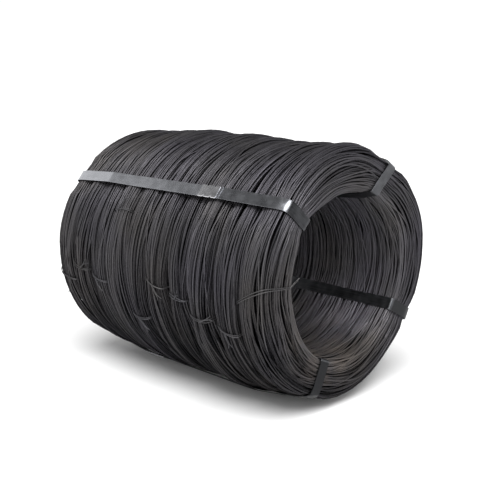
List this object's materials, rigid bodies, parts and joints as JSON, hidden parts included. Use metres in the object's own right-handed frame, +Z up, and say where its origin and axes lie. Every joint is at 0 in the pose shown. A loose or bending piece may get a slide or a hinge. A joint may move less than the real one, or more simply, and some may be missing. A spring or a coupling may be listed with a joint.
{
  "type": "carbon steel wire bundle",
  "caption": "Bundle of round carbon steel wire lying on its side: tied ring-shaped hanks set side by side on one bore and held together by flat steel straps with crimped seals.",
  "frame": {"origin": "on the floor under the middle of the bundle, which lies on its side", "axes": "+X along the bundle's bore, towards the end that the picture shows; +Z up"},
  "size_m": [0.8314, 0.684, 0.68],
  "materials": {
    "wire": "dark drawn steel with a dull, lightly oiled skin",
    "tie_wire": "annealed steel, dull grey",
    "strap": "rolled steel strap with a smooth, waxed dark grey skin",
    "seal": "bare steel sheet, brighter at the crimps"
  },
  "bodies": {
    "root": {"hank_01": "wire", "hank_02": "wire", "hank_03": "wire", "hank_04": "wire", "hank_05": "wire", "hank_06": "wire", "hank_07": "wire", "hank_08": "wire", "hank_09": "wire", "hank_10": "wire", "ties_01": "tie_wire", "ties_02": "tie_wire", "ties_03": "tie_wire", "ties_04": "tie_wire", "ties_05": "tie_wire", "ties_06": "tie_wire", "ties_07": "tie_wire", "ties_08": "tie_wire", "ties_09": "tie_wire", "ties_10": "tie_wire", "strap_1": "strap", "strap_2": "strap", "strap_3": "strap", "strap_4": "strap", "seal_1": "seal", "seal_2": "seal", "seal_3": "seal", "seal_4": "seal"}
  },
  "joints": []
}
